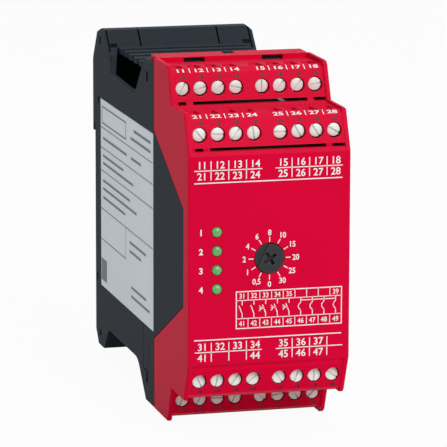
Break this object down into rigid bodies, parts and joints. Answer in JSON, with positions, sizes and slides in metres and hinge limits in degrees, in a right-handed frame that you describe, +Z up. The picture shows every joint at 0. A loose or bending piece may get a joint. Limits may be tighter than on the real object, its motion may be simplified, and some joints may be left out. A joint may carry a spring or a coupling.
{
  "type": "safety relay module",
  "caption": "Rail-mounted safety relay with a stepped red front, screw terminals in two tiers at the top and bottom, status lamps and a rotary time selector.",
  "frame": {"origin": "centre of the module's footprint, at the level of its lowest edge", "axes": "+X to the right seen from the front, +Y to the back, towards the rail, +Z up; the front panel faces -Y"},
  "size_m": [0.045, 0.1148, 0.099],
  "materials": {
    "red_hood": "satin moulded plastic",
    "dark_housing": "satin moulded plastic",
    "label": "printed film",
    "knob": "satin",
    "switch_body": "satin",
    "circuit_board": "solder mask",
    "capacitor_can": "sleeved can",
    "clip_plastic": "satin moulded plastic",
    "spring_steel": "bright",
    "lamp_lens": "clear green",
    "relay_case": "satin",
    "terminal_plastic": "satin",
    "clamp_metal": "zinc plated",
    "screw_metal": "zinc plated"
  },
  "bodies": {
    "housing": {"base_housing": "dark_housing", "front_hood": "red_hood", "side_label": "label", "selector_switch": "switch_body", "relay_board": "circuit_board", "logic_board": "circuit_board", "front_board": "circuit_board", "board_link": "circuit_board", "supply_capacitor": "capacitor_can", "clip_spring": "spring_steel", "status_lamp_1": "lamp_lens", "safety_relay_1": "relay_case", "terminal_block_1": "terminal_plastic", "terminal_clamps_1": "clamp_metal", "status_lamp_2": "lamp_lens", "safety_relay_2": "relay_case", "terminal_block_2": "terminal_plastic", "terminal_clamps_2": "clamp_metal", "status_lamp_3": "lamp_lens", "safety_relay_3": "relay_case", "terminal_block_3": "terminal_plastic", "terminal_clamps_3": "clamp_metal", "status_lamp_4": "lamp_lens", "safety_relay_4": "relay_case", "terminal_block_4": "terminal_plastic", "terminal_clamps_4": "clamp_metal"},
    "selector": {"selector_knob": "knob"},
    "clip": {"din_clip": "clip_plastic"},
    "screw_1_1": {"terminal_screw_1_1": "screw_metal"},
    "screw_1_2": {"terminal_screw_1_2": "screw_metal"},
    "screw_1_3": {"terminal_screw_1_3": "screw_metal"},
    "screw_1_4": {"terminal_screw_1_4": "screw_metal"},
    "screw_1_5": {"terminal_screw_1_5": "screw_metal"},
    "screw_1_6": {"terminal_screw_1_6": "screw_metal"},
    "screw_1_7": {"terminal_screw_1_7": "screw_metal"},
    "screw_1_8": {"terminal_screw_1_8": "screw_metal"},
    "screw_2_1": {"terminal_screw_2_1": "screw_metal"},
    "screw_2_2": {"terminal_screw_2_2": "screw_metal"},
    "screw_2_3": {"terminal_screw_2_3": "screw_metal"},
    "screw_2_4": {"terminal_screw_2_4": "screw_metal"},
    "screw_2_5": {"terminal_screw_2_5": "screw_metal"},
    "screw_2_6": {"terminal_screw_2_6": "screw_metal"},
    "screw_2_7": {"terminal_screw_2_7": "screw_metal"},
    "screw_2_8": {"terminal_screw_2_8": "screw_metal"},
    "screw_3_1": {"terminal_screw_3_1": "screw_metal"},
    "screw_3_2": {"terminal_screw_3_2": "screw_metal"},
    "screw_3_3": {"terminal_screw_3_3": "screw_metal"},
    "screw_3_4": {"terminal_screw_3_4": "screw_metal"},
    "screw_3_5": {"terminal_screw_3_5": "screw_metal"},
    "screw_3_6": {"terminal_screw_3_6": "screw_metal"},
    "screw_3_7": {"terminal_screw_3_7": "screw_metal"},
    "screw_3_8": {"terminal_screw_3_8": "screw_metal"},
    "screw_4_1": {"terminal_screw_4_1": "screw_metal"},
    "screw_4_2": {"terminal_screw_4_2": "screw_metal"},
    "screw_4_3": {"terminal_screw_4_3": "screw_metal"},
    "screw_4_4": {"terminal_screw_4_4": "screw_metal"},
    "screw_4_5": {"terminal_screw_4_5": "screw_metal"},
    "screw_4_6": {"terminal_screw_4_6": "screw_metal"},
    "screw_4_7": {"terminal_screw_4_7": "screw_metal"},
    "screw_4_8": {"terminal_screw_4_8": "screw_metal"}
  },
  "joints": [
    {"name": "selector_turn", "type": "hinge", "parent": "housing", "child": "selector", "pos_m": [0, -0.057, 0.0495], "axis": [0, 1, 0], "continuous": true},
    {"name": "clip_slide", "type": "slide", "parent": "housing", "child": "clip", "axis": [0, 0, -1], "range_m": [0, 0.004], "stiffness_N_per_m": 3000, "springref_m": -0.002, "deforming": ["clip_spring"]},
    {"name": "screw_turn_1_1", "type": "hinge", "parent": "housing", "child": "screw_1_1", "pos_m": [-0.01865, -0.0349, 0.09275], "axis": [0, 1, 0], "range_deg": [0, 2070]},
    {"name": "screw_turn_1_2", "type": "hinge", "parent": "housing", "child": "screw_1_2", "pos_m": [-0.01365, -0.0349, 0.09275], "axis": [0, 1, 0], "range_deg": [0, 2070]},
    {"name": "screw_turn_1_3", "type": "hinge", "parent": "housing", "child": "screw_1_3", "pos_m": [-0.00865, -0.0349, 0.09275], "axis": [0, 1, 0], "range_deg": [0, 2070]},
    {"name": "screw_turn_1_4", "type": "hinge", "parent": "housing", "child": "screw_1_4", "pos_m": [-0.00365, -0.0349, 0.09275], "axis": [0, 1, 0], "range_deg": [0, 2070]},
    {"name": "screw_turn_1_5", "type": "hinge", "parent": "housing", "child": "screw_1_5", "pos_m": [0.00365, -0.0349, 0.09275], "axis": [0, 1, 0], "range_deg": [0, 2070]},
    {"name": "screw_turn_1_6", "type": "hinge", "parent": "housing", "child": "screw_1_6", "pos_m": [0.00865, -0.0349, 0.09275], "axis": [0, 1, 0], "range_deg": [0, 2070]},
    {"name": "screw_turn_1_7", "type": "hinge", "parent": "housing", "child": "screw_1_7", "pos_m": [0.01365, -0.0349, 0.09275], "axis": [0, 1, 0], "range_deg": [0, 2070]},
    {"name": "screw_turn_1_8", "type": "hinge", "parent": "housing", "child": "screw_1_8", "pos_m": [0.01865, -0.0349, 0.09275], "axis": [0, 1, 0], "range_deg": [0, 2070]},
    {"name": "screw_turn_2_1", "type": "hinge", "parent": "housing", "child": "screw_2_1", "pos_m": [-0.01865, -0.0535, 0.08315], "axis": [0, 1, 0], "range_deg": [0, 2070]},
    {"name": "screw_turn_2_2", "type": "hinge", "parent": "housing", "child": "screw_2_2", "pos_m": [-0.01365, -0.0535, 0.08315], "axis": [0, 1, 0], "range_deg": [0, 2070]},
    {"name": "screw_turn_2_3", "type": "hinge", "parent": "housing", "child": "screw_2_3", "pos_m": [-0.00865, -0.0535, 0.08315], "axis": [0, 1, 0], "range_deg": [0, 2070]},
    {"name": "screw_turn_2_4", "type": "hinge", "parent": "housing", "child": "screw_2_4", "pos_m": [-0.00365, -0.0535, 0.08315], "axis": [0, 1, 0], "range_deg": [0, 2070]},
    {"name": "screw_turn_2_5", "type": "hinge", "parent": "housing", "child": "screw_2_5", "pos_m": [0.00365, -0.0535, 0.08315], "axis": [0, 1, 0], "range_deg": [0, 2070]},
    {"name": "screw_turn_2_6", "type": "hinge", "parent": "housing", "child": "screw_2_6", "pos_m": [0.00865, -0.0535, 0.08315], "axis": [0, 1, 0], "range_deg": [0, 2070]},
    {"name": "screw_turn_2_7", "type": "hinge", "parent": "housing", "child": "screw_2_7", "pos_m": [0.01365, -0.0535, 0.08315], "axis": [0, 1, 0], "range_deg": [0, 2070]},
    {"name": "screw_turn_2_8", "type": "hinge", "parent": "housing", "child": "screw_2_8", "pos_m": [0.01865, -0.0535, 0.08315], "axis": [0, 1, 0], "range_deg": [0, 2070]},
    {"name": "screw_turn_3_1", "type": "hinge", "parent": "housing", "child": "screw_3_1", "pos_m": [-0.01865, -0.0535, 0.01585], "axis": [0, 1, 0], "range_deg": [0, 2070]},
    {"name": "screw_turn_3_2", "type": "hinge", "parent": "housing", "child": "screw_3_2", "pos_m": [-0.01365, -0.0535, 0.01585], "axis": [0, 1, 0], "range_deg": [0, 2070]},
    {"name": "screw_turn_3_3", "type": "hinge", "parent": "housing", "child": "screw_3_3", "pos_m": [-0.00865, -0.0535, 0.01585], "axis": [0, 1, 0], "range_deg": [0, 2070]},
    {"name": "screw_turn_3_4", "type": "hinge", "parent": "housing", "child": "screw_3_4", "pos_m": [-0.00365, -0.0535, 0.01585], "axis": [0, 1, 0], "range_deg": [0, 2070]},
    {"name": "screw_turn_3_5", "type": "hinge", "parent": "housing", "child": "screw_3_5", "pos_m": [0.00365, -0.0535, 0.01585], "axis": [0, 1, 0], "range_deg": [0, 2070]},
    {"name": "screw_turn_3_6", "type": "hinge", "parent": "housing", "child": "screw_3_6", "pos_m": [0.00865, -0.0535, 0.01585], "axis": [0, 1, 0], "range_deg": [0, 2070]},
    {"name": "screw_turn_3_7", "type": "hinge", "parent": "housing", "child": "screw_3_7", "pos_m": [0.01365, -0.0535, 0.01585], "axis": [0, 1, 0], "range_deg": [0, 2070]},
    {"name": "screw_turn_3_8", "type": "hinge", "parent": "housing", "child": "screw_3_8", "pos_m": [0.01865, -0.0535, 0.01585], "axis": [0, 1, 0], "range_deg": [0, 2070]},
    {"name": "screw_turn_4_1", "type": "hinge", "parent": "housing", "child": "screw_4_1", "pos_m": [-0.01865, -0.0349, 0.00625], "axis": [0, 1, 0], "range_deg": [0, 2070]},
    {"name": "screw_turn_4_2", "type": "hinge", "parent": "housing", "child": "screw_4_2", "pos_m": [-0.01365, -0.0349, 0.00625], "axis": [0, 1, 0], "range_deg": [0, 2070]},
    {"name": "screw_turn_4_3", "type": "hinge", "parent": "housing", "child": "screw_4_3", "pos_m": [-0.00865, -0.0349, 0.00625], "axis": [0, 1, 0], "range_deg": [0, 2070]},
    {"name": "screw_turn_4_4", "type": "hinge", "parent": "housing", "child": "screw_4_4", "pos_m": [-0.00365, -0.0349, 0.00625], "axis": [0, 1, 0], "range_deg": [0, 2070]},
    {"name": "screw_turn_4_5", "type": "hinge", "parent": "housing", "child": "screw_4_5", "pos_m": [0.00365, -0.0349, 0.00625], "axis": [0, 1, 0], "range_deg": [0, 2070]},
    {"name": "screw_turn_4_6", "type": "hinge", "parent": "housing", "child": "screw_4_6", "pos_m": [0.00865, -0.0349, 0.00625], "axis": [0, 1, 0], "range_deg": [0, 2070]},
    {"name": "screw_turn_4_7", "type": "hinge", "parent": "housing", "child": "screw_4_7", "pos_m": [0.01365, -0.0349, 0.00625], "axis": [0, 1, 0], "range_deg": [0, 2070]},
    {"name": "screw_turn_4_8", "type": "hinge", "parent": "housing", "child": "screw_4_8", "pos_m": [0.01865, -0.0349, 0.00625], "axis": [0, 1, 0], "range_deg": [0, 2070]}
  ]
}
